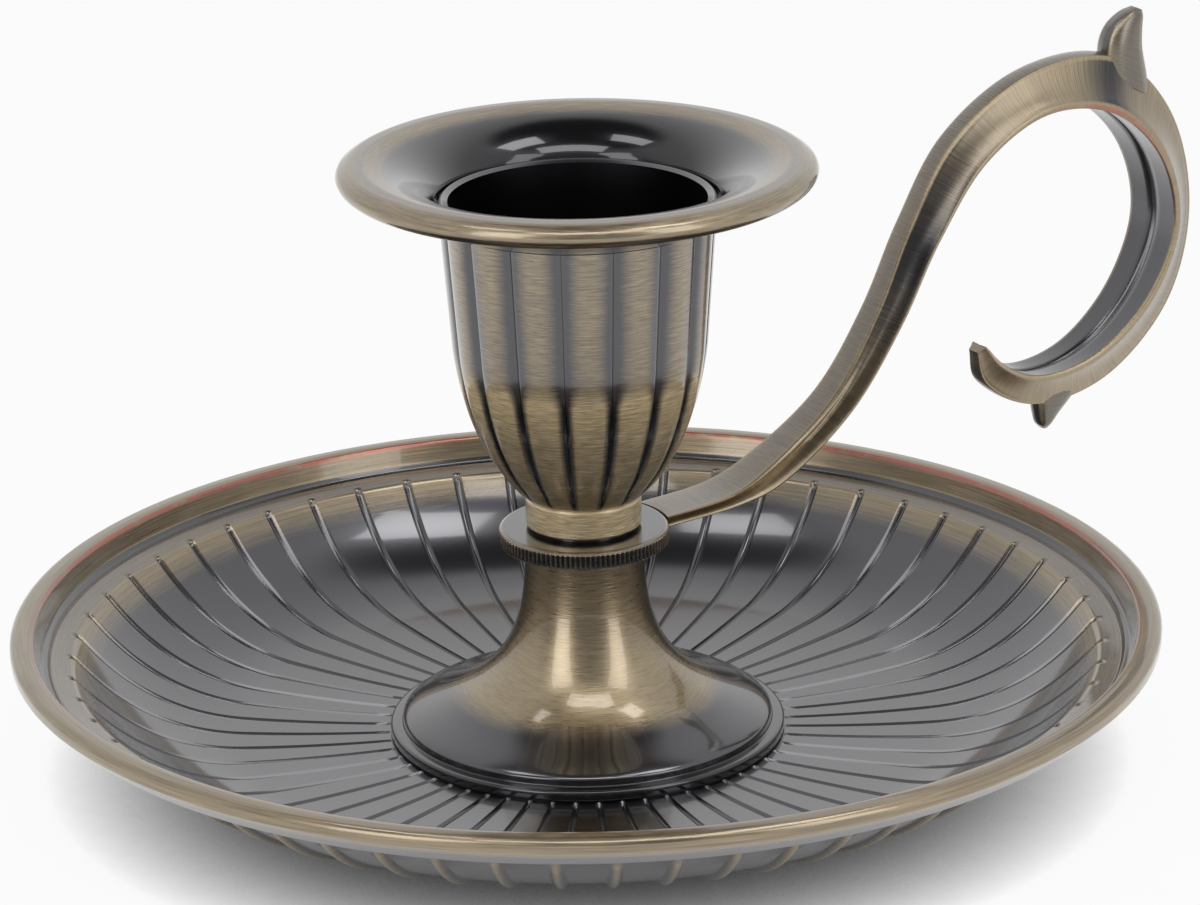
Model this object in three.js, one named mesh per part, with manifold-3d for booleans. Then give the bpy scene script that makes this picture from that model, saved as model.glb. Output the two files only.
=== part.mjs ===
// Chamber candle holder: a ribbed dish, a hollow pedestal, a milled collar with a scroll
// handle, a fluted candle cup with a drip flange, and the bolt that clamps them together.
// Millimetres, +Z up. The origin is on the candle's axis at the table, the handle is along +X.
import * as THREE from 'three';
import { mergeVertices } from 'three/addons/utils/BufferGeometryUtils.js';
import Module from 'manifold-3d';

const wasm = await Module();
wasm.setup();

// Clearances
const FIT_GAP = 0.3;
const BRAZE_GAP = 0.15;

// Number of flats that stand for a full turn
const TURNED_SIDES = 40;
const SMALL_SIDES = 24;

// Felt pad
const FELT_RADIUS = 17;
const FELT_THICKNESS = 1.2;

// Dish: one pressed sheet with a rolled rim
const DISH_RADIUS = 52.65;
const SHEET = 0.7;
const LEDGE_HEIGHT = 10.95;
const SHOULDER_RADIUS = 46.9;
const SHOULDER_DROP = 0.5;
const CHANNEL_RADIUS = 49.5;
const CHANNEL_DEPTH = 0.2;
const RIM_HEIGHT = 2.35;
const RIM_BAND = 1;
const RIM_TOP_WIDTH = 2.3;
const RIM_EDGE = 0.35;
const RIM_CHAMFER = 2;
const COVE_START = 32;
const COVE_START_RISE = 0.45;
const COVE_TURN_RADIUS = 41;
const COVE_TURN_RISE = 1.06;
const COVE_STATIONS = [0.12, 0.45, 0.78];
const RIB_COUNT = 56;
const RIB_PHASE = 71.7;
const RIB_WIDTH = 0.75;
const RIB_INNER_WIDTH = 0.45;
const RIB_HEIGHT = 0.5;
const GROOVE_DEPTH = 0.35;
const TIP_NOTCH = 0.45;
const RUN_OUT = 1;
const BOSS_RADIUS = 8.5;
const BOSS_FLANK = 4;
const BOSS_RISE = 4.5;

// Pedestal: hollow trumpet foot
const FOOT_RADIUS = 18.2;
const FOOT_LIP = 0.95;
const FOOT_BEVEL = 0.3;
const DOME_RADIUS = 17;
const DOME_SIDE = 0.6;
const DOME_RISE = 4.15;
const DOME_TOP_RADIUS = 9.5;
const STEM_RADIUS = 5.4;
const PEDESTAL_HEIGHT = 18.05;
const PEDESTAL_WALL = 0.9;
const PEDESTAL_TOP = 2.2;

// Collar: flat disc with a milled edge
const COLLAR_RADIUS = 7.78;
const COLLAR_THICKNESS = 1.7;
const COLLAR_CHAMFER = 0.15;
const MILL_COUNT = 104;
const MILL_DEPTH = 0.16;
const SEAT_RADIUS = 4.5;
const SEAT_HEIGHT = 0.3;

// Candle cup: fluted, on a plain neck ring
const NECK_RADIUS = 5.3;
const NECK_HEIGHT = 2.8;
const CUP_HEIGHT = 30.9;
const CUP_WAIST_HEIGHT = 17;
const CUP_WAIST_RADIUS = 11.55;
const CUP_RADIUS = 12.45;
const CUP_WALL = 0.8;
const CUP_FLOOR = 4.4;
const BORE_RADIUS = 11.65;
const LIP_HEIGHT = 1.3;
const LIP_SHOULDER = 0.5;
const FLUTE_COUNT = 16;
const FLUTE_PHASE = 5.5;
const FLUTE_DEPTH = 0.55;

// Drip flange: rolled ring round the cup's mouth
const FLANGE_RADIUS = 21.6;
const FLANGE_RISE = 4.8;
const FLANGE_EDGE = 2.1;
const FLANGE_HUB = 1.3;
const FLANGE_SHEET = 0.9;

// Tie bolt, washers and nut
const BOLT_RADIUS = 2.5;
const HEAD_RADIUS = 4.25;
const HEAD_HEIGHT = 2.8;
const SLOT_WIDTH = 1.2;
const SLOT_DEPTH = 1.2;
const BOLT_PROUD = 0.4;
const HOLE_RADIUS = BOLT_RADIUS + FIT_GAP;
const WASHER_RADIUS = 5;
const WASHER_THICKNESS = 0.9;
const NUT_FLATS = 8;
const NUT_HEIGHT = 2.7;

// Handle: S scroll with two thorns
const CREST_WIDTH = 5;
const BLADE_WIDTH = 7.2;
const CREASE = 0.04;
const HOLLOW_DEPTH = 0.6;
const HOLLOW_START = 0.1;
const HOLLOW_END = 0.3;
const SCROLL_REACH = 61.3;
const SCROLL_STEPS = 34;
const TENON_LENGTH = 2.2;
const TENON_WIDTH = 3.4;
const TENON_HEIGHT = 0.7;

// Finishes
const FINISH = {
  brass: { color: 0x8f7f63, roughness: 0.34, metalness: 1 },
  dark: { color: 0x4b4744, roughness: 0.22, metalness: 1 },
  steel: { color: 0x9a9a98, roughness: 0.4, metalness: 1 },
  felt: { color: 0x2b2a28, roughness: 0.95, metalness: 0 },
};

// Heights that follow from the sizes
const SHEET_UNDER = FELT_THICKNESS;
const FLOOR_Z = SHEET_UNDER + SHEET;
const SHOULDER_Z = LEDGE_HEIGHT - SHOULDER_DROP;
const PEDESTAL_Z = FLOOR_Z;
const COLLAR_Z = PEDESTAL_Z + PEDESTAL_HEIGHT;
const COLLAR_TOP = COLLAR_Z + COLLAR_THICKNESS;
const CUP_Z = COLLAR_TOP + SEAT_HEIGHT;
const CUP_FLOOR_Z = CUP_Z + CUP_FLOOR;
const CUP_TOP = CUP_Z + CUP_HEIGHT;
const BOSS_TOP = FLOOR_Z + BOSS_RISE;
const BOSS_UNDER = BOSS_TOP - SHEET;

const degrees = (a) => THREE.MathUtils.degToRad(a);
const mix = (a, b, t) => a + (b - a) * t;
const smooth = (t) => THREE.MathUtils.smoothstep(t, 0, 1);

// A ring is a closed loop of points in order of their angle about the axis.
// at(angle, k) gives [radius, height, turn], where turn shifts the point along the ring.
function ring(count, phase, at) {
  const list = [];
  for (let k = 0; k < count; k += 1) {
    const angle = phase + (k * 2 * Math.PI) / count;
    const [radius, height, turn = 0] = at(angle, k);
    const a = angle + turn;
    list.push({ angle: a, point: [radius * Math.cos(a), radius * Math.sin(a), height] });
  }
  return list;
}

const plainRing = (count, radius, height, phase = 0) => ring(count, phase, () => [radius, height]);

// Sews rings into one closed body. They run anticlockwise round the section, and the last
// one joins the first. Two rings may differ in their number of points.
function sewRings(rings) {
  const position = [];
  const index = [];
  const start = rings.map((loop) => {
    const first = position.length / 3;
    loop.forEach((v) => position.push(...v.point));
    return first;
  });
  rings.forEach((lower, i) => {
    const j = (i + 1) % rings.length;
    const upper = rings[j];
    let a = 0;
    let b = 0;
    const turnOf = (loop, k) => loop[k % loop.length].angle + (k >= loop.length ? 2 * Math.PI : 0);
    const low = (k) => start[i] + (k % lower.length);
    const high = (k) => start[j] + (k % upper.length);
    while (a < lower.length || b < upper.length) {
      const takeLower = b >= upper.length
        || (a < lower.length && turnOf(lower, a + 1) <= turnOf(upper, b + 1));
      if (takeLower) {
        index.push(low(a), low(a + 1), high(b));
        a += 1;
      } else {
        index.push(low(a), high(b + 1), high(b));
        b += 1;
      }
    }
  });
  const geometry = new THREE.BufferGeometry();
  geometry.setAttribute('position', new THREE.Float32BufferAttribute(position, 3));
  geometry.setIndex(index);
  return geometry;
}

// Revolves a section given as [radius, height] pairs, anticlockwise.
function revolve(section, segments) {
  const points = section.map(([r, z]) => new THREE.Vector2(r, z));
  const onAxis = section[0][0] === 0;
  if (!onAxis) points.push(points[0].clone());
  return new THREE.LatheGeometry(points, segments).rotateX(Math.PI / 2);
}

// Closed body from equal rings of points, with a fan over each end.
function loft(rings) {
  const sides = rings[0].length;
  const position = rings.flat(2);
  const index = [];
  for (let i = 0; i + 1 < rings.length; i += 1) {
    for (let k = 0; k < sides; k += 1) {
      const n = (k + 1) % sides;
      const [a, b, c, d] = [i * sides + k, i * sides + n, (i + 1) * sides + n, (i + 1) * sides + k];
      index.push(a, b, c, a, c, d);
    }
  }
  const last = (rings.length - 1) * sides;
  for (let k = 1; k + 1 < sides; k += 1) {
    index.push(0, k + 1, k);
    index.push(last, last + k, last + k + 1);
  }
  const geometry = new THREE.BufferGeometry();
  geometry.setAttribute('position', new THREE.Float32BufferAttribute(position, 3));
  geometry.setIndex(index);
  return geometry;
}

function toSolid(geometry) {
  const bare = geometry.clone();
  bare.deleteAttribute('normal');
  bare.deleteAttribute('uv');
  const merged = mergeVertices(bare, 1e-5);
  return new wasm.Manifold(new wasm.Mesh({
    numProp: 3,
    vertProperties: new Float32Array(merged.attributes.position.array),
    triVerts: new Uint32Array(merged.index.array),
  }));
}

function fromSolid(solid) {
  const mesh = solid.getMesh();
  const geometry = new THREE.BufferGeometry();
  geometry.setAttribute('position', new THREE.BufferAttribute(mesh.vertProperties, 3));
  geometry.setIndex(new THREE.BufferAttribute(mesh.triVerts, 1));
  return geometry;
}

function block(x0, x1, width, z0, z1) {
  const box = new THREE.BoxGeometry(x1 - x0, width, z1 - z0);
  return box.translate((x0 + x1) / 2, 0, (z0 + z1) / 2);
}

// Upper face of the dish in section, from the edge of its floor up to the shoulder.
const COVE = new THREE.QuadraticBezierCurve(
  new THREE.Vector2(COVE_START, FLOOR_Z + COVE_START_RISE),
  new THREE.Vector2(COVE_TURN_RADIUS, FLOOR_Z + COVE_TURN_RISE),
  new THREE.Vector2(SHOULDER_RADIUS, SHOULDER_Z),
);

// Three points for each rib: its two edges, and its middle moved by `shift` = [dr, dz].
function ribRing(radius, height, shift) {
  const t = smooth((radius - FOOT_RADIUS) / (SHOULDER_RADIUS - FOOT_RADIUS));
  const half = mix(RIB_INNER_WIDTH, RIB_WIDTH, t) / 2;
  const step = (2 * Math.PI) / RIB_COUNT;
  return ring(RIB_COUNT * 3, degrees(RIB_PHASE), (angle, k) => {
    const side = (k % 3) - 1;
    const turn = (side * half) / radius + step / 3 - (k % 3) * (step / 3);
    return side === 0 ? [radius + shift[0], height + shift[1], turn] : [radius, height, turn];
  });
}

// Floor and cove with their ribs, on the upper face or `drop` below it.
function ribbedStretch(drop, depth) {
  const floorStart = FOOT_RADIUS + 2 * FIT_GAP;
  const low = FLOOR_Z - drop;
  const coveRings = COVE_STATIONS.map((share) => {
    const along = COVE.getTangent(share);
    const out = new THREE.Vector2(along.y, -along.x);
    const point = COVE.getPoint(share).addScaledVector(out, drop);
    return ribRing(point.x, point.y, [depth * out.x, depth * out.y]);
  });
  return [
    ribRing(floorStart, low, [0, 0]),
    ribRing(floorStart + RUN_OUT, low, [0, -depth]),
    ...coveRings,
  ];
}

function makeDish() {
  const plain = (radius, height) => plainRing(RIB_COUNT, radius, height, degrees(RIB_PHASE));
  const under = LEDGE_HEIGHT - SHEET;
  const crest = LEDGE_HEIGHT + RIM_HEIGHT;
  const wall = CHANNEL_RADIUS + FIT_GAP;
  const bandTop = crest - RIM_EDGE;
  const bandLow = bandTop - RIM_BAND;
  const lower = [
    plain(HOLE_RADIUS, BOSS_UNDER),
    plain(BOSS_RADIUS - SHEET / 2, BOSS_UNDER),
    plain(BOSS_RADIUS + BOSS_FLANK - SHEET / 2, SHEET_UNDER),
    ...ribbedStretch(SHEET, RIB_HEIGHT),
    ribRing(SHOULDER_RADIUS, under - SHOULDER_DROP, [0, 0]),
  ];
  const edge = [
    plain(DISH_RADIUS - RIM_CHAMFER, under),
    plain(DISH_RADIUS, bandLow),
    plain(DISH_RADIUS, bandTop),
    plain(DISH_RADIUS - RIM_EDGE, crest),
    plain(DISH_RADIUS - RIM_TOP_WIDTH + RIM_EDGE, crest),
    plain(DISH_RADIUS - RIM_TOP_WIDTH, crest - RIM_EDGE),
    plain(wall, LEDGE_HEIGHT),
    plain(CHANNEL_RADIUS, LEDGE_HEIGHT - CHANNEL_DEPTH),
    plain(CHANNEL_RADIUS - FIT_GAP, LEDGE_HEIGHT),
  ];
  const upper = [
    ribRing(SHOULDER_RADIUS, SHOULDER_Z, [TIP_NOTCH, 0]),
    ...ribbedStretch(0, GROOVE_DEPTH).reverse(),
    plain(BOSS_RADIUS + BOSS_FLANK, FLOOR_Z),
    plain(BOSS_RADIUS, BOSS_TOP),
    plain(HOLE_RADIUS, BOSS_TOP),
  ];
  return sewRings([...lower, ...edge, ...upper]);
}

// Points of a Bezier stretch without its first one.
function curvePoints(corners, steps) {
  const vectors = corners.map(([r, z]) => new THREE.Vector2(r, z));
  const curve = new THREE.CubicBezierCurve(...vectors);
  return curve.getPoints(steps).slice(1).map((p) => [p.x, p.y]);
}

function makePedestal() {
  const lipTop = PEDESTAL_Z + FOOT_LIP;
  const domeLow = lipTop + DOME_SIDE;
  const domeTop = domeLow + DOME_RISE;
  const top = PEDESTAL_Z + PEDESTAL_HEIGHT;
  const outer = [
    [FOOT_RADIUS, PEDESTAL_Z],
    [FOOT_RADIUS, lipTop - FOOT_BEVEL],
    [FOOT_RADIUS - FOOT_BEVEL, lipTop],
    [DOME_RADIUS, lipTop],
    [DOME_RADIUS, domeLow],
    ...curvePoints([
      [DOME_RADIUS, domeLow],
      [DOME_RADIUS, domeLow + 0.65],
      [DOME_TOP_RADIUS + 2.8, domeTop - 2.5],
      [DOME_TOP_RADIUS, domeTop],
    ], 6),
    ...curvePoints([
      [DOME_TOP_RADIUS, domeTop],
      [DOME_TOP_RADIUS - 1.9, domeTop + 1.65],
      [STEM_RADIUS, domeTop + 4.6],
      [STEM_RADIUS, top],
    ], 6),
  ];
  const wall = PEDESTAL_WALL;
  const inner = [
    [HOLE_RADIUS, top],
    [HOLE_RADIUS, top - PEDESTAL_TOP],
    [STEM_RADIUS - wall, top - PEDESTAL_TOP - wall],
    [STEM_RADIUS + 0.5 - wall, domeTop + 4.6],
    [STEM_RADIUS + 2.9 - wall, domeTop + 1],
    [DOME_TOP_RADIUS + 0.3 - wall, domeTop - 0.6],
    [DOME_TOP_RADIUS + 2.9 - wall, domeTop - 1.5 - wall],
    [DOME_RADIUS - FOOT_BEVEL - wall, domeLow + 0.6 - wall],
    [DOME_RADIUS - FOOT_BEVEL - wall, PEDESTAL_Z],
  ];
  return revolve([...outer, ...inner], TURNED_SIDES);
}

function mortise() {
  const x0 = COLLAR_RADIUS - TENON_LENGTH - BRAZE_GAP;
  const z0 = COLLAR_Z + (COLLAR_THICKNESS - TENON_HEIGHT - BRAZE_GAP) / 2;
  const width = TENON_WIDTH + 2 * BRAZE_GAP;
  return block(x0, COLLAR_RADIUS + 1, width, z0, z0 + TENON_HEIGHT + BRAZE_GAP);
}

function makeCollar() {
  const milled = (z) => ring(MILL_COUNT * 2, 0, (_, k) => (
    [COLLAR_RADIUS - (k % 2) * MILL_DEPTH, z]));
  const flat = TURNED_SIDES;
  const face = COLLAR_RADIUS - MILL_DEPTH - COLLAR_CHAMFER;
  const body = sewRings([
    plainRing(flat, HOLE_RADIUS, COLLAR_Z),
    plainRing(flat, face, COLLAR_Z),
    milled(COLLAR_Z + COLLAR_CHAMFER),
    milled(COLLAR_TOP - COLLAR_CHAMFER),
    plainRing(flat, face, COLLAR_TOP),
    plainRing(flat, SEAT_RADIUS, COLLAR_TOP),
    plainRing(flat, SEAT_RADIUS, CUP_Z),
    plainRing(flat, HOLE_RADIUS, CUP_Z),
  ]);
  return fromSolid(toSolid(body).subtract(toSolid(mortise())));
}

// Crest radius of the flutes at a height above the cup's foot.
const bowl = new THREE.CubicBezierCurve(
  new THREE.Vector2(NECK_RADIUS, NECK_HEIGHT),
  new THREE.Vector2(NECK_RADIUS + 2.9, NECK_HEIGHT + 2.4),
  new THREE.Vector2(CUP_WAIST_RADIUS - 0.85, CUP_WAIST_HEIGHT - 7.2),
  new THREE.Vector2(CUP_WAIST_RADIUS, CUP_WAIST_HEIGHT),
);

function cupRows() {
  const rows = bowl.getPoints(5).map((p) => [p.x, p.y]);
  const top = CUP_HEIGHT - LIP_HEIGHT - LIP_SHOULDER;
  rows.push([mix(CUP_WAIST_RADIUS, CUP_RADIUS, 0.5), mix(CUP_WAIST_HEIGHT, top, 0.5)]);
  rows.push([CUP_RADIUS, top]);
  return rows;
}

function makeCup() {
  const steps = [-1, -0.55, 0, 0.55];
  const fluteAngle = (2 * Math.PI) / FLUTE_COUNT;
  const fluted = (crest, height) => {
    const depth = FLUTE_DEPTH * smooth((height - NECK_HEIGHT) / 1.6);
    return ring(FLUTE_COUNT * steps.length, degrees(FLUTE_PHASE), (_, k) => {
      const place = steps[k % steps.length];
      const radius = crest - depth * (1 - Math.sqrt(1 - place * place));
      const turn = (place + 1) * fluteAngle / 2 - ((k % steps.length) * fluteAngle) / steps.length;
      return [Math.max(radius, NECK_RADIUS), CUP_Z + height, turn];
    });
  };
  const n = TURNED_SIDES;
  const lipRadius = BORE_RADIUS + CUP_WALL;
  const shoulder = CUP_HEIGHT - LIP_HEIGHT;
  const shoulderRadius = lipRadius + FIT_GAP + CUP_WALL / 2;
  const outer = [
    plainRing(n, HOLE_RADIUS, CUP_Z),
    plainRing(n, NECK_RADIUS - 0.15, CUP_Z),
    plainRing(n, NECK_RADIUS, CUP_Z + 0.15),
    ...cupRows().map(([r, h]) => fluted(r, h)),
    plainRing(n, shoulderRadius, CUP_Z + shoulder - LIP_SHOULDER / 2),
    plainRing(n, shoulderRadius, CUP_Z + shoulder),
    plainRing(n, lipRadius, CUP_Z + shoulder),
    plainRing(n, lipRadius, CUP_TOP - 0.2),
    plainRing(n, lipRadius - 0.25, CUP_TOP),
    plainRing(n, BORE_RADIUS, CUP_TOP - 0.25),
  ];
  const inset = FLUTE_DEPTH + CUP_WALL / 2;
  const inner = cupRows()
    .filter(([r, h]) => h > CUP_FLOOR + 1 && r - inset < BORE_RADIUS - 0.3)
    .reverse()
    .map(([r, h]) => plainRing(n, r - inset, CUP_Z + h));
  const boreFoot = plainRing(n, BORE_RADIUS, CUP_Z + CUP_HEIGHT - LIP_HEIGHT - LIP_SHOULDER);
  const floor = [
    plainRing(n, HEAD_RADIUS + 2 * FIT_GAP + 1, CUP_FLOOR_Z),
    plainRing(n, HOLE_RADIUS, CUP_FLOOR_Z),
  ];
  return sewRings([...outer, boreFoot, ...inner, ...floor]);
}

function makeFlange() {
  const inner = BORE_RADIUS + CUP_WALL + FIT_GAP;
  const seat = CUP_TOP - LIP_HEIGHT;
  const top = seat + FLANGE_RISE;
  const edgeLow = top - FLANGE_EDGE;
  return revolve([
    [inner, seat],
    [inner + FLANGE_SHEET, seat],
    [inner + FLANGE_SHEET + 2.4, seat + 0.9],
    [FLANGE_RADIUS - 1.4, edgeLow],
    [FLANGE_RADIUS - 0.55, edgeLow + 0.15],
    [FLANGE_RADIUS - 0.1, edgeLow + 0.65],
    [FLANGE_RADIUS, edgeLow + 1.3],
    [FLANGE_RADIUS - 0.3, top - 0.5],
    [FLANGE_RADIUS - 1.2, top],
    [FLANGE_RADIUS - 2.4, top],
    ...curvePoints([
      [FLANGE_RADIUS - 2.4, top],
      [FLANGE_RADIUS - 5, top - 0.5],
      [inner + 1.1, seat + FLANGE_HUB + 1.9],
      [inner, seat + FLANGE_HUB],
    ], 6),
  ], TURNED_SIDES);
}

// The scroll in its own plane, in hundredths of SCROLL_REACH from the collar's edge and
// underside: outer and inner edge, with the outer face as a share of CREST_WIDTH and the
// inner one of BLADE_WIDTH.
const SCROLL = [
  { out: [-1.3, 2.4], in: [-1.3, 1], wide: [1, 0.75] },
  { out: [11.7, 3.6], in: [12.7, 2], wide: [0.94, 0.81] },
  { out: [18.3, 6.2], in: [19.7, 3.8], wide: [0.84, 0.83] },
  { out: [30.7, 14.7], in: [32.6, 13.1], wide: [0.64, 0.88] },
  { out: [39.2, 26.4], in: [41.8, 25], wide: [0.54, 0.9] },
  { out: [45.5, 39], in: [48.8, 37.2], wide: [0.48, 0.92] },
  { out: [53.7, 51.2], in: [57.4, 48], wide: [0.46, 0.92] },
  { out: [68, 59.5], in: [69, 53.7], wide: [0.44, 0.93] },
  { out: [84.5, 59.5], in: [81.6, 51.9], wide: [0.44, 0.94] },
  { out: [95.6, 49.1], in: [90.7, 43.4], wide: [0.44, 1] },
  { out: [100, 33], in: [93.6, 32], wide: [0.44, 1] },
  { out: [95.6, 18.3], in: [88.7, 20.7], wide: [0.44, 0.93] },
  { out: [83.4, 7.8], in: [79.1, 13.1], wide: [0.44, 0.81] },
  { out: [69.2, 6], in: [68.8, 11.4], wide: [0.42, 0.68] },
  { out: [60.2, 11.3], in: [62.6, 14.2], wide: [0.38, 0.53] },
  { out: [58.9, 16.3], in: [60.2, 17.1], wide: [0.28, 0.31] },
];

const inReach = (hundredths) => (hundredths * SCROLL_REACH) / 100;

function scrollStations() {
  const track = (edge, side, width) => new THREE.CatmullRomCurve3(SCROLL.map((station) => (
    new THREE.Vector3(inReach(station[edge][0]), inReach(station[edge][1]),
      station.wide[side] * width))));
  const outer = track('out', 0, CREST_WIDTH);
  const inner = track('in', 1, BLADE_WIDTH);
  const stations = [];
  for (let k = 0; k <= SCROLL_STEPS; k += 1) {
    const share = k / SCROLL_STEPS;
    const fade = smooth((share - HOLLOW_START) / (HOLLOW_END - HOLLOW_START));
    stations.push([outer.getPoint(share), inner.getPoint(share), HOLLOW_DEPTH * (1 - fade)]);
  }
  return stations;
}

// Ring of the handle's section: flat outer face, hollow flanks, wide inner face with a crease.
function scrollRing([outer, inner, hollow]) {
  const [wo, wi] = [outer.z / 2, inner.z / 2];
  const half = [
    [mix(wo, wi, 0.22) - hollow, 0.45], [mix(wo, wi, 0.7), 0.8], [wi, 0.95], [wi * 0.9, 1],
  ];
  const outline = [
    [-wo, 0],
    ...half.map(([y, t]) => [-y, t]),
    [0, 1 - CREASE],
    ...half.reverse(),
    [wo, 0],
  ];
  return outline.map(([y, t]) => [
    COLLAR_RADIUS + mix(outer.x, inner.x, t), y, COLLAR_Z + mix(outer.y, inner.y, t)]);
}

// Leaf-shaped thorn: rings from its root to its tip, with the two edges in the scroll's plane.
function thornRings(rows) {
  return rows.map(({ left, right, wide }) => {
    const half = inReach(wide) / 2;
    const round = [[0, 0.6], [0.25, 1], [0.75, 1], [1, 0.5]];
    const along = [...round, ...round.map(([t, side]) => [t, -side]).reverse()];
    return along.map(([t, side]) => [
      COLLAR_RADIUS + inReach(mix(left[0], right[0], t)), -side * half,
      COLLAR_Z + inReach(mix(left[1], right[1], t))]);
  });
}

const TOP_THORN = [
  { left: [83.2, 56.8], right: [91.7, 52], wide: 5.9 },
  { left: [83, 60], right: [91, 56.3], wide: 5.5 },
  { left: [83.5, 62.6], right: [90.2, 60.2], wide: 5.2 },
  { left: [84.8, 64.6], right: [90.2, 63.3], wide: 4.6 },
  { left: [87.1, 66.1], right: [90.4, 65.1], wide: 3.6 },
  { left: [89.1, 66.7], right: [90.4, 66.1], wide: 2 },
];

const LOW_THORN = [
  { left: [70.5, 8.2], right: [80.3, 8.2], wide: 4.6 },
  { left: [70.6, 5.2], right: [77, 5.2], wide: 4.1 },
  { left: [71, 3.6], right: [75.2, 3.6], wide: 3.6 },
  { left: [71.5, 2], right: [73.7, 2], wide: 2.9 },
  { left: [72.1, 1.1], right: [73.1, 1.1], wide: 1.6 },
];

function makeHandle() {
  const seat = COLLAR_RADIUS + BRAZE_GAP;
  const round = new THREE.CylinderGeometry(seat, seat, 4 * COLLAR_THICKNESS, 96);
  round.rotateX(Math.PI / 2).translate(0, 0, COLLAR_Z + COLLAR_THICKNESS / 2);
  const z0 = COLLAR_Z + (COLLAR_THICKNESS - TENON_HEIGHT - BRAZE_GAP) / 2;
  const tenon = block(COLLAR_RADIUS - TENON_LENGTH, COLLAR_RADIUS + 2, TENON_WIDTH, z0,
    z0 + TENON_HEIGHT);
  const scroll = toSolid(loft(scrollStations().map(scrollRing)));
  return fromSolid(scroll
    .subtract(toSolid(round))
    .add(toSolid(tenon))
    .add(toSolid(loft(thornRings(TOP_THORN))))
    .add(toSolid(loft(thornRings(LOW_THORN).reverse()))));
}

function makeBolt() {
  const under = CUP_FLOOR_Z + WASHER_THICKNESS;
  const end = BOSS_UNDER - WASHER_THICKNESS - NUT_HEIGHT - BOLT_PROUD;
  const top = under + HEAD_HEIGHT;
  const turned = revolve([
    [0, end], [BOLT_RADIUS - 0.4, end], [BOLT_RADIUS, end + 0.4], [BOLT_RADIUS, under],
    [HEAD_RADIUS, under], [HEAD_RADIUS, top - 0.5], [HEAD_RADIUS - 0.5, top], [0, top],
  ], SMALL_SIDES);
  const slot = block(-HEAD_RADIUS - 1, HEAD_RADIUS + 1, SLOT_WIDTH, top - SLOT_DEPTH, top + 1);
  return fromSolid(toSolid(turned).subtract(toSolid(slot)));
}

function makeWasher(z) {
  const top = z + WASHER_THICKNESS;
  return revolve([[HOLE_RADIUS, z], [WASHER_RADIUS, z], [WASHER_RADIUS, top], [HOLE_RADIUS, top]],
    SMALL_SIDES);
}

function makeNut() {
  const top = BOSS_UNDER - WASHER_THICKNESS;
  const outline = new THREE.Shape();
  const corner = NUT_FLATS / 2 / Math.cos(degrees(30));
  for (let k = 0; k < 6; k += 1) {
    const a = degrees(60 * k);
    const method = k === 0 ? 'moveTo' : 'lineTo';
    outline[method](corner * Math.cos(a), corner * Math.sin(a));
  }
  outline.closePath();
  outline.holes.push(new THREE.Path().absarc(0, 0, HOLE_RADIUS, 0, 2 * Math.PI, true));
  const nut = new THREE.ExtrudeGeometry(outline, {
    depth: NUT_HEIGHT, bevelEnabled: false, curveSegments: SMALL_SIDES / 2 });
  return nut.translate(0, 0, top - NUT_HEIGHT);
}

function makeFelt() {
  return revolve([[0, 0], [FELT_RADIUS, 0], [FELT_RADIUS, FELT_THICKNESS], [0, FELT_THICKNESS]],
    TURNED_SIDES);
}

const holder = new THREE.Group();

function addPiece(name, geometry, finish) {
  const material = new THREE.MeshStandardMaterial(FINISH[finish]);
  const mesh = new THREE.Mesh(geometry, material);
  mesh.name = name;
  holder.add(mesh);
}

addPiece('felt_pad', makeFelt(), 'felt');
addPiece('dish', makeDish(), 'dark');
addPiece('pedestal', makePedestal(), 'dark');
addPiece('milled_collar', makeCollar(), 'dark');
addPiece('scroll_handle', makeHandle(), 'brass');
addPiece('candle_cup', makeCup(), 'brass');
addPiece('drip_flange', makeFlange(), 'brass');
addPiece('tie_bolt', makeBolt(), 'steel');
addPiece('cup_washer', makeWasher(CUP_FLOOR_Z), 'steel');
addPiece('base_washer', makeWasher(BOSS_UNDER - WASHER_THICKNESS), 'steel');
addPiece('base_nut', makeNut(), 'steel');

export default holder;
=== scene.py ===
"""Antique brass chamber candle holder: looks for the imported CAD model, in metres.

The lengths below are in mm, as in the CAD model. grid_piece turns them into metres.
"""
import math

import bpy
import numpy as np
from mathutils import Matrix, Vector


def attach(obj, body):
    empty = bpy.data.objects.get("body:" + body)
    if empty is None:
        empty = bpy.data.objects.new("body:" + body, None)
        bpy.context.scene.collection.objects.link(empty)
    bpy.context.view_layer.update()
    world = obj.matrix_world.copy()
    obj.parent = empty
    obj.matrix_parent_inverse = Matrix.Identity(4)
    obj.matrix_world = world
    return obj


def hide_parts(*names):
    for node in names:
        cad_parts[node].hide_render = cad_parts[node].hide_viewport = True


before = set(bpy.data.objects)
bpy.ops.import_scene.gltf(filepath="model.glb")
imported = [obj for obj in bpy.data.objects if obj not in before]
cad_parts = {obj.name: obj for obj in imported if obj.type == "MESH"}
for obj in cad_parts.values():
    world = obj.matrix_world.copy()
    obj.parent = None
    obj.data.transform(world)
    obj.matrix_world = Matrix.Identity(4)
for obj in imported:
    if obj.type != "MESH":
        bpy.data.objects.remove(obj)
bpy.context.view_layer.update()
MM = 0.001
FULL_TURN = 2 * math.pi

# Dish
DISH_RADIUS = 52.65
SHEET = 0.7
FLOOR_Z = 1.9
FLOOR_RISE = 0.45
LEVEL_START = 18.7
COVE_START = (32.0, 2.35)
COVE_TURN = (41.0, 2.96)
SHOULDER = (46.9, 10.45)
LEDGE_START = 47.2
LEDGE_Z = 10.95
CHANNEL_START = 49.1
CHANNEL_END_Z = 11.25
RIM_START = 49.9
CREST_Z = 13.3
RIM_UNDER_Z = 11.95
CHAMFER_LOW = (50.65, 10.25)
BOSS_Z = 5.7
BOSS_FOOT = 12.0

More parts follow.
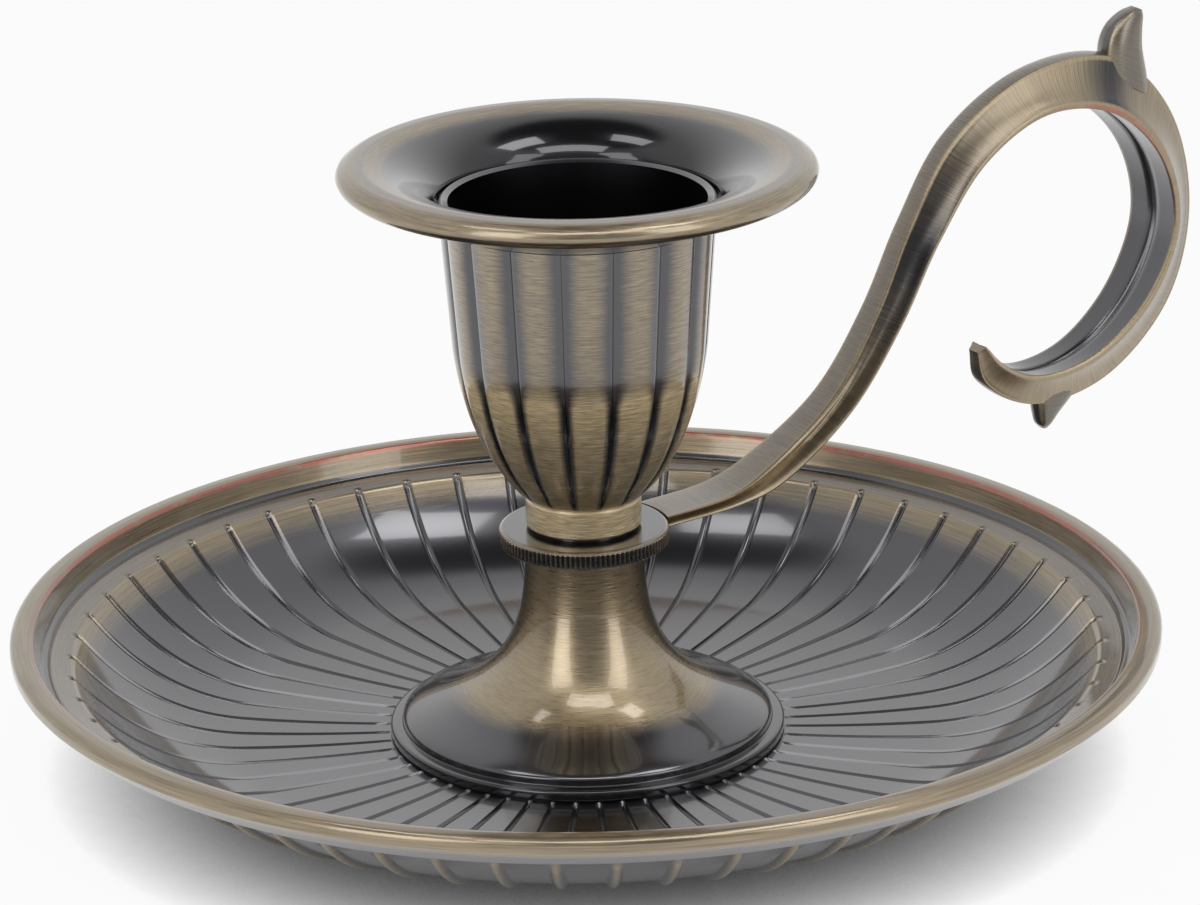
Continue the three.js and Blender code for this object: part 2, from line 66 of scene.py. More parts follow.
# Ribs of the dish: a groove above and a ridge below
RIB_COUNT = 56
RIB_PHASE = math.radians(71.7 + 360 / 56 / 3)
RIB_SAMPLES = (-1.5, -1.0, -0.62, -0.3, 0.0, 0.3, 0.62, 1.0, 1.5)
RIB_HALF_WIDTH = (0.3, 0.46)
GROOVE_DEPTH = 0.35
GROOVE_START = (18.3, 18.6)
GROOVE_END = (46.9, 47.6)
RIDGE_HEIGHT = 0.5
RIDGE_START = (18.9, 22)
RIDGE_END = (45.6, 46.7)
RIDGE_WIDENING = 1.12
FAR_FROM_RIB = 9.0

# Pedestal
FOOT_RADIUS = 18.2
DOME_RADIUS = 17.0
DOME_LOW_Z = 3.45
DOME_TOP = (9.5, 7.6)
STEM_RADIUS = 5.4
PEDESTAL_TOP_Z = 19.95

# Collar
COLLAR_RADIUS = 7.78
COLLAR_Z = 19.95
COLLAR_TOP_Z = 21.65
COLLAR_SEAT_RADIUS = 4.5
MILL_COUNT = 104
MILL_DEPTH = 0.16

# Cup
CUP_Z = 21.95
CUP_TOP_Z = 52.85
NECK_RADIUS = 5.3
NECK_HEIGHT = 2.8
WAIST_HEIGHT = 17.0
WAIST_RADIUS = 11.55
CUP_RADIUS = 12.45
CUP_WALL = 0.95
CUP_LIP = 1.8
BORE_RADIUS = 11.65
FLUTE_COUNT = 16
FLUTE_PHASE = math.radians(5.5)
FLUTE_DEPTH = 0.55
CUP_FLOOR_Z = 26.35

# Flange
FLANGE_RADIUS = 21.6
FLANGE_CREST_RADIUS = 19.2
FLANGE_SEAT_Z = 51.55
FLANGE_TOP_Z = 56.35
FLANGE_BORE = 12.75

# Bolt, washer and pad
HOLE_RADIUS = 2.8
BOLT_LOW_Z = 1.7
BOLT_RADIUS = 2.5
BOLT_SEAT_Z = 27.25
BOLT_TOP_Z = 30.05
HEAD_RADIUS = 4.25
SLOT_HALF_WIDTH = 0.6
SLOT_DEPTH = 1.2
WASHER_RADIUS = 5.0
PAD_RADIUS = 17.0
PAD_HEIGHT = 1.2

# Handle, in its own plane: outer and inner edge from the collar's edge and underside,
# with the outer face as a share of CREST_WIDTH and the inner one of BLADE_WIDTH
CREST_WIDTH = 5.0
BLADE_WIDTH = 7.2
FLANK_VALLEY = 0.75
SEAM_GAP = 0.15
SCROLL = (
    (-0.8, 1.5, -0.8, 0.6, 1.00, 0.75), (7.2, 2.2, 7.8, 1.2, 0.94, 0.81),
    (11.2, 3.8, 12.1, 2.3, 0.84, 0.83), (18.8, 9.0, 20.0, 8.0, 0.64, 0.88),
    (24.0, 16.2, 25.6, 15.3, 0.54, 0.90), (27.9, 23.9, 29.9, 22.8, 0.48, 0.92),
    (32.9, 31.4, 35.2, 29.4, 0.46, 0.92), (41.7, 36.5, 42.3, 32.9, 0.44, 0.93),
    (51.8, 36.5, 50.0, 31.8, 0.44, 0.94), (58.6, 30.1, 55.6, 26.6, 0.44, 1.00),
    (61.08, 20.2, 57.4, 19.6, 0.44, 1.00), (58.6, 11.2, 54.4, 12.7, 0.44, 0.93),
    (51.1, 4.8, 48.5, 8.0, 0.44, 0.81), (42.4, 3.7, 42.2, 7.0, 0.42, 0.68),
    (36.9, 6.9, 38.4, 8.7, 0.38, 0.53), (36.1, 10.0, 36.9, 10.5, 0.28, 0.31),
)
# Thorns in the same plane: both ends of each layer, and its width
TOP_THORN = (
    (51, 34.8, 56.2, 31.9, 3.6), (50.9, 36.8, 55.8, 34.5, 3.4), (51.2, 38.4, 55.3, 36.9, 3.2),
    (52, 39.6, 55.3, 38.8, 2.8), (53.4, 40.5, 55.4, 39.9, 2.2), (54.6, 40.87, 55.4, 40.48, 1.2),
)
LOW_THORN = (
    (43.2, 5, 49.2, 5, 2.8), (43.3, 3.2, 47.2, 3.2, 2.5), (43.5, 2.2, 46.1, 2.2, 2.2),
    (43.8, 1.2, 45.2, 1.2, 1.8), (44.2, 0.7, 44.8, 0.7, 1),
)
# Half outline of a thorn's layer: share of the way between its ends, share of its half width
THORN_OUTLINE = (
    (0, 0.0), (0.015, 0.42), (0.05, 0.62), (0.16, 0.86), (0.3, 0.97),
    (0.5, 1.0), (0.7, 0.94), (0.86, 0.8), (0.97, 0.5), (1.0, 0.2),
)

# Rub: 0 is patina and 1 bare brass. It fades in or out between two heights or radii
COVE_RUB = 0.8
COVE_RUB_Z = (7.6, 10.4)
LEDGE_RUB = 0.42
CHANNEL_RUB = 0.1
RIM_RUB = 0.78
RIM_CHAMFER_RUB = 0.12
RIM_UNDER_RUB = 0.05
STEM_RUB_RADIUS = (10.2, 13.4)
TOOTH_RUB = 0.6
COLLAR_EDGE_RUB = 0.7
NECK_RUB = 0.9
# Heights over which the cup turns darker above: painted shade under the flange
CUP_FLANGE_SHADE_Z = (36, 39)
SLOPE_RUB = 0.8
SLOPE_RUB_RADIUS = (16.4, 18.4)
# Shares of the scroll's length: black stretches of the flanks as height, middle and width,
# and copper ones of the blade's edges as middle and width
FLANK_SHADES = ((0.88, 0.32, 0.09), (0.9, 0.53, 0.02), (0.4, 0.68, 0.07))
BLADE_COPPER = ((0.53, 0.06), (0.985, 0.012))

# Fineness of the meshes
TURNED_SIDES = 256
SMALL_SIDES = 96
PAD_SIDES = 160
TOOTH_SIDES = 8
FLUTE_SIDES = 20
HANDLE_STEPS = 200
THORN_STEPS = 28
TURNED_SHARP = 38
HANDLE_SHARP = 50

# Colours, linear
PATINA = (0.082, 0.081, 0.088)
# Darker patina: real on the handle's flanks, painted shade under the dish, at the pedestal's foot
# and on the flange's slope
PATINA_DEEP_AND_SHADE = (0.022, 0.022, 0.025)
# Lighter patina at grazing angles: a painted sheen
PATINA_PAINTED_SHEEN = (0.12, 0.118, 0.127)
BRASS = (0.42, 0.335, 0.215)
BRASS_SHADE = (0.2, 0.155, 0.095)
# A brighter copy of BRASS, for the cup: painted light that its brushed brass catches
BRASS_PAINTED_LIT = (0.88, 0.71, 0.44)
COPPER = (0.36, 0.12, 0.085)
ZINC = (0.5, 0.5, 0.49)
FELT_DARK = (0.012, 0.012, 0.012)
FELT_PALE = (0.05, 0.048, 0.046)
FLOOR_GREY = (0.8, 0.8, 0.8)

# Camera, fitted to the photograph, in metres
CAMERA_LENS = 152.54882
CAMERA_SENSOR = 36.0
CAMERA_PLACE = (-0.229520, -0.370307, 0.181111)
CAMERA_RIGHT = Vector((0.84474202, -0.53490149, -0.01706797))
CAMERA_DOWN = Vector((-0.19045365, -0.27066305, -0.94364661))
CAMERA_FORWARD = Vector((0.50013831, 0.80038860, -0.33051439))
LEVEL_RIGHT = Vector((0.8449, -0.5350, 0))
LEVEL_AWAY = Vector((0.5350, 0.8449, 0))

# Studio as the object reflects it. The ceiling and the front fade, between two cosines of the
# angle to them, from the white of the background to a strength of their own. ROOM_LIGHT is
# what lights the object from all sides, FLOOR_SHOWN the share of white in the floor that the
# camera sees, and SHADOW_REACH how far, in metres, its contact shadow spreads
CEILING_FADE = (0.82, 0.9, 0.09)
FRONT_FADE = (0.1, 0.6, 0.4)
ROOM_LIGHT = 0.3
FLOOR_SHOWN = 0.93
SHADOW_REACH = 0.009

# Lamps, in metres: name, direction as right of, away from and above the camera, size,
# radiance, and distance from the origin
LAMP_AIM = Vector((0.005, 0, 0.03))
LAMPS = (
    ("front_box", (0.04, -0.34, 0.94), (0.2, 0.08), 3.8, 0.35),
    ("right_box", (0.33, 0.02, 0.94), (0.12, 0.14), 5.0, 0.5),
    ("left_box", (-0.3, 0.06, 0.95), (0.1, 0.12), 4.0, 0.5),
    ("left_panel", (-0.55, -0.7, 0.45), (0.5, 1.2), 2.6, 1.2),
    ("right_panel", (0.66, -0.56, 0.45), (0.45, 1.2), 2.3, 1.2),
)


# Numbers and curves

def mix(a, b, t):
    return a + (b - a) * t


def smooth(x, low, high):
    """0 below low, 1 above high, and a soft step between them."""
    t = np.clip((np.asarray(x, float) - low) / (high - low), 0, 1)
    return t * t * (3 - 2 * t)


def bump_at(x, centre, width):
    """A soft hump of height 1."""
    return np.exp(-((np.asarray(x, float) - centre) / width) ** 2)


def towards(here, there, distance):
    return here + (there - here) / np.hypot(*(there - here)) * distance


def rounded(corners, step=0.6):
    """Dense points along a profile of (r, z, fillet) corners, each cut by an arc of that size."""
    pts = np.array([c[:2] for c in corners], float)
    dense = [pts[0]]

    def line_to(target):
        start = dense[-1]
        count = max(1, math.ceil(np.hypot(*(target - start)) / step))
        dense.extend(start + (target - start) * k / count for k in range(1, count + 1))

    for i in range(1, len(pts) - 1):
        before, here, after = pts[i - 1:i + 2]
        room = 0.48 * min(np.hypot(*(here - before)), np.hypot(*(after - here)))
        size = min(corners[i][2], room)
        if size <= 0:
            line_to(here)
            continue
        a, b = towards(here, before, size), towards(here, after, size)
        line_to(a)
        for t in np.linspace(0, 1, 7)[1:]:
            dense.append((1 - t) ** 2 * a + 2 * t * (1 - t) * here + t * t * b)
    line_to(pts[-1])
    return np.array(dense)


def bezier(corners, steps):
    """Points of a cubic stretch without its first one."""
    p = np.array(corners, float)
    t = np.linspace(0, 1, steps + 1)[1:, None]
    return ((1 - t) ** 3 * p[0] + 3 * t * (1 - t) ** 2 * p[1] + 3 * t * t * (1 - t) * p[2]
            + t ** 3 * p[3])


def spline(points, steps):
    """Centripetal Catmull-Rom through the points, at even steps from point to point."""
    p = np.array(points, float)
    p = np.vstack([2 * p[0] - p[1], p, 2 * p[-1] - p[-2]])
    out = []
    for k in range(steps + 1):
        t = (len(points) - 1) * k / steps
        i = min(int(t), len(points) - 2)
        w = t - i
        a, b, c, d = p[i:i + 4]
        d0, d1, d2 = (max(np.linalg.norm(v - u) ** 0.5, 1e-6) for u, v in ((a, b), (b, c), (c, d)))
        t1 = ((b - a) / d0 - (c - a) / (d0 + d1) + (c - b) / d1) * d1
        t2 = ((c - b) / d1 - (d - b) / (d1 + d2) + (d - c) / d2) * d1
        out.append(b + t1 * w + (-3 * b + 3 * c - 2 * t1 - t2) * w ** 2
                   + (2 * b - 2 * c + t1 + t2) * w ** 3)
    return np.array(out)


def along_rows(profile):
    """Distance along a profile at each of its rows."""
    return np.concatenate([[0], np.cumsum(np.hypot(*np.diff(profile, axis=0).T))])


# Meshes

def grid_piece(name, grid, masks, closed_rows=True, sharp=TURNED_SHARP):
    """One mesh from rows of points in mm. Each row is a closed loop. Masks are values per point.
    Rows that don't close on each other get a face at either end."""
    rows, cols = grid.shape[:2]
    verts = (grid.reshape(-1, 3) * MM).tolist()
    index = np.arange(rows * cols).reshape(rows, cols)
    low = index if closed_rows else index[:-1]
    high = np.roll(index, -1, 0) if closed_rows else index[1:]
    faces = np.stack([low, np.roll(low, -1, 1), np.roll(high, -1, 1), high], -1)
    faces = faces.reshape(-1, 4).tolist()
    if not closed_rows:
        faces.append(index[0][::-1].tolist())
        faces.append(index[-1].tolist())
    mesh = bpy.data.meshes.new(name)
    mesh.from_pydata(verts, [], faces)
    for key, values in masks.items():
        layer = mesh.attributes.new(key, "FLOAT", "POINT")
        layer.data.foreach_set("value", np.asarray(values, np.float32).reshape(-1))
    mesh.polygons.foreach_set("use_smooth", [True] * len(mesh.polygons))
    mesh.set_sharp_from_angle(angle=math.radians(sharp))
    mesh.validate()
    return linked(bpy.data.objects.new(name, mesh))


def linked(thing):
    bpy.context.scene.collection.objects.link(thing)
    return thing


def angles(sides, phase=0.0):
    return phase + np.arange(sides) * FULL_TURN / sides


def per_point(row_values, sides):
    return np.repeat(np.asarray(row_values)[:, None], sides, 1)


def around_axis(r, z, angle):
    return np.stack([r * np.cos(angle), r * np.sin(angle), z], -1)


def turned_piece(name, profile, sides=TURNED_SIDES, **masks):
    """Mesh of a turned profile. The masks are values per row of it."""
    r, z = (per_point(values, sides) for values in profile.T)
    masks["along"] = along_rows(profile)
    return grid_piece(name, around_axis(r, z, angles(sides)),
                      {key: per_point(values, sides) for key, values in masks.items()})


# Materials

class Nodes:
    """Short hand for building the nodes of a material or the world."""

    def __init__(self, owner):
        owner.use_nodes = True
        self.owner = owner
        self.tree = owner.node_tree
        self.shader = self.tree.nodes.get("Principled BSDF")

    def add(self, kind, inputs=None, **settings):
        node = self.tree.nodes.new(kind)
        for key, value in settings.items():
            setattr(node, key, value)
        for key, value in (inputs or {}).items():
            self.put(value, node.inputs[key])
        return node

    def put(self, value, socket):
        if isinstance(value, bpy.types.NodeSocket):
            self.tree.links.new(value, socket)
        elif isinstance(value, tuple) and len(value) == 3 and socket.type == "RGBA":
            socket.default_value = (*value, 1)
        else:
            socket.default_value = value

    def set_shader(self, **values):
        """Values of the shader's sockets, with _ for each space in their names."""
        for key, value in values.items():
            self.put(value, self.shader.inputs[key.replace("_", " ")])

    def math(self, operation, a, b=0.0, clamp=False):
        return self.add("ShaderNodeMath", {0: a, 1: b}, operation=operation,
                        use_clamp=clamp).outputs[0]

    def blend(self, share, a, b):
        return self.add("ShaderNodeMix", {0: share, 6: a, 7: b}, data_type="RGBA").outputs[2]

    def level(self, share, a, b):
        return self.add("ShaderNodeMix", {0: share, 2: a, 3: b}, data_type="FLOAT").outputs[0]

    def span(self, value, low, high, to_low=0.0, to_high=1.0, **settings):
        return self.add("ShaderNodeMapRange", {0: value, 1: low, 2: high, 3: to_low, 4: to_high},
                        **settings).outputs[0]

    def mask(self, name):
        return self.add("ShaderNodeAttribute", attribute_name=name).outputs["Fac"]

    def place(self):
        return self.add("ShaderNodeTexCoord").outputs["Object"]

    def noise(self, vector, scale, detail=3.0, rough=0.55):
        return self.add("ShaderNodeTexNoise", {"Vector": vector, "Scale": scale,
                                               "Detail": detail, "Roughness": rough}).outputs[0]

    def bump(self, height, strength, distance):
        return self.add("ShaderNodeBump", {"Strength": strength, "Distance": distance,
                                           "Height": height}).outputs[0]


def brushed_vector(n, direction, long, fine):
    """Coordinates that run slowly along the brush strokes and fast across them, per mm.
    "around" gives strokes of even angle, "rings" ones of even length."""
    parts = n.add("ShaderNodeSeparateXYZ", {0: n.place()})
    flat = n.add("ShaderNodeCombineXYZ", {0: parts.outputs[0], 1: parts.outputs[1]}).outputs[0]
    scale = 1000 * long
    if direction == "around":
        flat = n.add("ShaderNodeVectorMath", {0: flat}, operation="NORMALIZE").outputs[0]
        scale = 30 * long
    flat = n.add("ShaderNodeMapping", {"Vector": flat, "Scale": (scale, scale, 1)}).outputs[0]
    turn = n.add("ShaderNodeSeparateXYZ", {0: flat})
    across = n.math("MULTIPLY", n.mask("along"), fine)
    return n.add("ShaderNodeCombineXYZ",
                 {0: turn.outputs[0], 1: turn.outputs[1], 2: across}).outputs[0]


def antique(name, direction, long=0.25, fine=6.0, shine=0.22, satin=0.36, wear=0.35,
            bright=BRASS, gloss=0.05):
    """Dark polished patina that is rubbed back to brushed brass where the mask says so.
    A second mask darkens it: deeper patina on the handle, painted shade and dark reflection on
    the other pieces. It is lighter at grazing angles, a painted sheen.
    shine and satin are the roughness of patina and brass, gloss is the lacquer's."""
    n = Nodes(bpy.data.materials.new(name))
    place = n.place()
    strokes = n.noise(brushed_vector(n, direction, long, fine), 1.0, 2.0, 0.6)
    swing = n.math("SUBTRACT", strokes, 0.5)
    cloud = n.noise(place, 120.0, 2.0, 0.5)
    uneven = n.math("MULTIPLY", n.math("SUBTRACT", cloud, 0.5), 0.6 * wear)
    ragged = n.math("MULTIPLY", swing, wear)
    rubbed = n.math("ADD", n.mask("brass"), n.math("ADD", uneven, ragged))
    bare = n.math("MULTIPLY", n.span(rubbed, 0.08, 0.92), n.span(n.mask("brass"), 0.0, 0.06))
    red = n.math("MULTIPLY", n.mask("copper"), n.span(n.noise(place, 420.0), 0.25, 0.5))
    brass = n.blend(n.span(strokes, 0.08, 0.8), BRASS_SHADE, bright)
    # Patina turns lighter where the surface is seen at a grazing angle: a painted sheen
    painted_sheen = n.add("ShaderNodeLayerWeight", {"Blend": 0.5}).outputs["Facing"]
    # Deeper patina where a mask says so: real patina on the handle, painted shade and dark
    # reflection on the other pieces
    patina = n.blend(n.mask("deep"), PATINA, PATINA_DEEP_AND_SHADE)
    dark = n.blend(n.span(painted_sheen, 0.35, 0.75), patina, PATINA_PAINTED_SHEEN)
    colour = n.blend(bare, dark, brass)
    rough = n.math("ADD", n.level(bare, shine, satin),
                   n.math("MULTIPLY", n.math("MULTIPLY", swing, 0.2), bare))
    relief = n.math("MULTIPLY", n.level(bare, 0.03, 1.0), strokes)
    n.set_shader(Base_Color=n.blend(red, colour, COPPER), Roughness=rough, Metallic=1.0,
                 Normal=n.bump(relief, 0.18, 0.0001),
                 Coat_Weight=1.0, Coat_Roughness=gloss, Coat_IOR=1.5)
    return n.owner


def plain_metal(name, colour, roughness):
    """Plated metal with a faint cloud in its colour and roughness."""
    n = Nodes(bpy.data.materials.new(name))
    cloud = n.noise(n.place(), 900.0, 4.0)
    dull = tuple(0.6 * c for c in colour)
    n.set_shader(Base_Color=n.blend(n.span(cloud, 0.3, 0.7), dull, colour), Metallic=1.0,
                 Roughness=n.span(cloud, 0.2, 0.8, roughness - 0.06, roughness + 0.08))
    return n.owner


def felt_material():
    n = Nodes(bpy.data.materials.new("pressed_felt"))
    fibre = n.noise(n.place(), 3800.0, 5.0, 0.7)
    n.set_shader(Base_Color=n.blend(fibre, FELT_DARK, FELT_PALE), Roughness=0.95,
                 Normal=n.bump(fibre, 0.6, 0.0002))
    return n.owner


def dress(piece, material, slot_name, *nodes):
    piece.data.materials.append(material)
    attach(piece, "root")
    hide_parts(*nodes)


# Dish

def ribbed_rows(drop, last, level, curved):
    """Rows (r, z) of the ribbed sheet, drop below its upper face, from the pedestal's foot
    to the share last of the cove."""
    start, turn, top = (np.array(p) for p in (COVE_START, COVE_TURN, SHOULDER))
    rows = [(r, FLOOR_Z - drop
             + FLOOR_RISE * ((r - LEVEL_START) / (start[0] - LEVEL_START)) ** 2)
            for r in np.append(GROOVE_START[0], np.linspace(LEVEL_START, start[0] - 0.4, level))]
    for t in np.linspace(0, last, curved):
        point = (1 - t) ** 2 * start + 2 * t * (1 - t) * turn + t * t * top
        along = (1 - t) * (turn - start) + t * (top - turn)
        out = np.array([along[1], -along[0]]) / np.hypot(*along)
        rows.append(tuple(point + drop * out))
    return rows


def rib_columns(r, spread):
    """Angle of each column of the dish at each row, and its distance from the nearest rib."""
    step = FULL_TURN / RIB_COUNT
    angle, away = [], []
    for k in range(RIB_COUNT):
        for sample in RIB_SAMPLES:
            angle.append(RIB_PHASE + k * step + sample * spread / np.maximum(r, BOSS_FOOT))
            away.append(sample * spread)
        angle.append(RIB_PHASE + (k + 0.5) * step + 0 * r)
        away.append(FAR_FROM_RIB + 0 * r)
    return np.array(angle).T, np.array(away).T


def make_dish():
    top_rows = ribbed_rows(0, 0.96, 11, 30)
    edge = rounded([
        (*top_rows[-1], 0), (*SHOULDER, 0.45), (47.7, SHOULDER[1] + 0.17, 0),
        (49.0, LEDGE_Z - 0.05, 0.25), (49.25, LEDGE_Z - 0.2, 0.15), (49.75, LEDGE_Z - 0.18, 0.2),
        (50.05, LEDGE_Z + 0.3, 0.2), (50.45, CREST_Z - 0.15, 0.3), (51.2, CREST_Z, 0.3),
        (52.2, CREST_Z - 0.06, 0.4), (DISH_RADIUS - 0.02, CREST_Z - 0.4, 0.25),
        (DISH_RADIUS - 0.02, 12.05, 0.15), (*CHAMFER_LOW, 0.25), (47.0, 9.75, 0)], 0.35)[1:]
    low_rows = ribbed_rows(SHEET, 0.94, 7, 15)[::-1]
    boss = [(BOSS_FOOT, FLOOR_Z - SHEET), (8.15, BOSS_Z), (HOLE_RADIUS, BOSS_Z),
            (HOLE_RADIUS, BOSS_Z + SHEET), (8.5, BOSS_Z + SHEET), (12.5, FLOOR_Z)]
    profile = np.array(top_rows + edge.tolist() + low_rows + boss)
    groove_rows = len(top_rows) + 12
    edge_end = len(top_rows) + len(edge)
    low_end = edge_end + len(low_rows)
    tangent = np.roll(profile, -1, 0) - np.roll(profile, 1, 0)
    tangent /= np.hypot(*tangent.T)[:, None]
    normal = np.stack([-tangent[:, 1], tangent[:, 0]], -1)
    r, z = profile.T
    rows = np.arange(len(profile))
    inside = rows < edge_end
    below = (rows >= edge_end) & (rows < low_end)
    groove = (smooth(r, *GROOVE_START) * (1 - smooth(r, *GROOVE_END)) * (rows < groove_rows))
    ridge = (smooth(r, *RIDGE_START) * (1 - smooth(r, *RIDGE_END)) * below)[:, None]
    spread = mix(*RIB_HALF_WIDTH, smooth(r, FOOT_RADIUS, SHOULDER[0]))
    angle, away = rib_columns(r, spread)
    wide = spread[:, None]
    dip = np.clip(1 - (away / wide) ** 2, 0, 1) ** 0.8
    hump = np.clip(1 - (away / (wide * RIDGE_WIDENING)) ** 2, 0, 1) ** 0.6
    lift = -GROOVE_DEPTH * dip * groove[:, None] + RIDGE_HEIGHT * hump * ridge
    grid = around_axis(r[:, None] + normal[:, 0:1] * lift, z[:, None] + normal[:, 1:2] * lift,
                       angle)

    band = smooth(z, *COVE_RUB_Z) * inside * (r < LEDGE_START)
    brass = band[:, None] * (1 - 0.9 * dip) * COVE_RUB
    under_rim = inside & (rows > edge_end - 22) & (r > LEDGE_START) & (z < RIM_UNDER_Z)
    for area, rub in (
            (inside & (r >= LEDGE_START) & (r < CHANNEL_START) & (z < 11.6), LEDGE_RUB),
            (inside & (r >= CHANNEL_START) & (z < CHANNEL_END_Z), CHANNEL_RUB),
            (inside & (r >= RIM_START) & (z >= CHANNEL_END_Z), RIM_RUB),
            (under_rim, RIM_UNDER_RUB), (under_rim & (z > CHAMFER_LOW[1]), RIM_CHAMFER_RUB)):
        brass[area] = rub
    brass[below] = (0.03 + 0.9 * hump * ridge)[below]
    lip = bump_at(r, 50.55, 0.22) * bump_at(z, CREST_Z - 0.12, 0.35) * inside
    behind = 0.35 + 0.65 * smooth(np.sin(angle + math.radians(32)), -0.2, 0.5)
    masks = {"brass": brass, "copper": np.clip(lip * 1.6, 0, 1)[:, None] * behind,
             # The underside's panels between the ridges get a deeper patina: painted shade under
             # the dish
             "deep": below[:, None] * (1 - hump),
             "along": per_point(along_rows(profile), angle.shape[1])}
    return grid_piece("dish_body", grid[::-1], {key: mask[::-1] for key, mask in masks.items()})


# Pedestal, collar, cup and flange

def make_pedestal():
    foot = rounded([
        (FOOT_RADIUS - 0.12, FLOOR_Z, 0), (FOOT_RADIUS, FLOOR_Z + 0.2, 0.1),
        (FOOT_RADIUS, 2.86, 0.6), (17.06, 2.92, 0.12), (DOME_RADIUS, DOME_LOW_Z, 0)], 0.12)
    dome = bezier([(DOME_RADIUS, DOME_LOW_Z), (DOME_RADIUS, DOME_LOW_Z + 0.65),
                   (DOME_TOP[0] + 2.8, DOME_TOP[1] - 2.5), DOME_TOP], 48)
    stem = bezier([DOME_TOP, (DOME_TOP[0] - 1.9, DOME_TOP[1] + 1.65),
                   (STEM_RADIUS, DOME_TOP[1] + 4.6), (STEM_RADIUS, PEDESTAL_TOP_Z)], 44)
    hollow = [(HOLE_RADIUS, PEDESTAL_TOP_Z), (HOLE_RADIUS, 17.75), (4.5, 16.85), (5.0, 12.2),
              (7.4, 8.6), (8.9, 7.0), (11.5, 5.2), (15.8, 3.15), (15.8, FLOOR_Z)]
    profile = np.concatenate([foot, dome, stem, hollow])
    r, z = profile.T
    return turned_piece("pedestal_body", profile,
                        brass=np.where(z > 4.4, 1 - smooth(r, *STEM_RUB_RADIUS), 0),
                        # The foot ring is darker where it stands on the dish: painted shade
                        deep=0.8 * smooth(r, DOME_RADIUS - 0.1, DOME_RADIUS + 0.1))


def make_collar():
    edge, low, high = COLLAR_RADIUS, COLLAR_Z, COLLAR_TOP_Z
    profile = rounded([
        (HOLE_RADIUS, low, 0), (edge - 0.4, low, 0.05), (edge - 0.16, low + 0.1, 0.06),
        (edge, low + 0.22, 0.05), (edge, high - 0.3, 0.05), (edge - 0.12, high - 0.14, 0.06),
        (edge - 0.34, high, 0.1), (5.4, high, 0), (COLLAR_SEAT_RADIUS, high, 0),
        (COLLAR_SEAT_RADIUS, CUP_Z, 0), (HOLE_RADIUS, CUP_Z, 0)], 0.45)
    sides = MILL_COUNT * TOOTH_SIDES
    angle = angles(sides)
    r, z = (per_point(values, sides) for values in profile.T)
    wave = 0.5 * np.cos(angle * MILL_COUNT)
    milled = (r > edge - 0.05) & (z > low + 0.15) & (z < high - 0.22)
    r = r - MILL_DEPTH * milled * (0.5 - wave) ** 0.7
    tips = (r > edge - MILL_DEPTH) & (z > low + 0.15) & (z < high - 0.2)
    top_edge = COLLAR_EDGE_RUB * bump_at(r, edge - 0.2, 0.16) * (z > high - 0.3)
    brass = np.maximum(tips * TOOTH_RUB * (0.5 + wave) ** 2, top_edge)
    return grid_piece("collar_body", around_axis(r, z, angle),
                      {"brass": brass, "along": per_point(along_rows(profile), sides)})


def cup_outline(height):
    """Crest radius of the flutes at a height above the cup's foot."""
    corners = [(NECK_RADIUS, NECK_HEIGHT), (NECK_RADIUS + 2.9, NECK_HEIGHT + 2.4),
               (WAIST_RADIUS - 0.85, WAIST_HEIGHT - 7.2), (WAIST_RADIUS, WAIST_HEIGHT)]
    curve = np.vstack([[corners[0]], bezier(corners, 80),
                       [(CUP_RADIUS, CUP_TOP_Z - CUP_Z - CUP_LIP)]])
    return np.interp(height, curve[:, 1], curve[:, 0])


def make_cup():
    top = CUP_TOP_Z - CUP_Z
    floor = CUP_FLOOR_Z - CUP_Z
    foot = rounded([
        (HOLE_RADIUS, 0, 0), (NECK_RADIUS - 0.1, 0, 0.08), (NECK_RADIUS, 0.15, 0.08),
        (NECK_RADIUS, NECK_HEIGHT - 0.25, 0.08), (NECK_RADIUS - 0.12, NECK_HEIGHT - 0.1, 0.05),
        (NECK_RADIUS, NECK_HEIGHT, 0)], 0.4)
    heights = NECK_HEIGHT + (top - CUP_LIP - NECK_HEIGHT) * np.linspace(0, 1, 64)[1:] ** 1.15
    wall = np.stack([cup_outline(heights), heights], -1)
    lip = rounded([
        (CUP_RADIUS, top - CUP_LIP, 0), (13.1, top - 1.55, 0.1), (13.1, top - 1.3, 0),
        (12.45, top - 1.3, 0), (12.45, top - 0.2, 0.1), (12.2, top, 0.1),
        (BORE_RADIUS, top - 0.25, 0)], 0.5)[1:]
    heights = np.linspace(top - CUP_LIP, floor + 1.0, 26)
    inside = np.stack([np.minimum(cup_outline(heights) - CUP_WALL, BORE_RADIUS), heights], -1)
    profile = np.concatenate([foot, wall, lip, inside, [(5.9, floor), (HOLE_RADIUS, floor)]])
    sides = FLUTE_COUNT * FLUTE_SIDES
    # -1 and 1 at the two edges of a flute
    place = (np.arange(sides) % FLUTE_SIDES) / (FLUTE_SIDES / 2) - 1
    r, z = (per_point(values, sides) for values in profile.T)
    rows = np.arange(len(profile))[:, None]
    wall_end = len(foot) + len(wall)
    fluted = (rows >= len(foot)) & (rows < wall_end)
    hollow = 1 - np.sqrt(np.clip(1 - (0.985 * place) ** 2, 0, 1))
    depth = FLUTE_DEPTH * smooth(z, NECK_HEIGHT, NECK_HEIGHT + 2.2)
    r = np.where(fluted, np.maximum(r - depth * hollow, NECK_RADIUS), r)
    # Less brass on the upper cup, under the flange, is painted shade; the crests rubbed to brass
    # are wear
    low = 1 - smooth(z + CUP_Z, *CUP_FLANGE_SHADE_Z)
    crest = 1 - smooth((np.abs(place) - mix(0.15, 0.55, low)) / mix(0.8, 0.42, low), 0, 1)
    body = 0.04 + crest * mix(0.36, 0.96, low)
    neck = NECK_RUB * (z < NECK_HEIGHT + 0.1) * (rows < wall_end)
    return grid_piece("cup_body", around_axis(r, z + CUP_Z, angles(sides, FLUTE_PHASE)),
                      {"brass": np.where(fluted, body, neck),
                       "along": per_point(along_rows(profile), sides)})


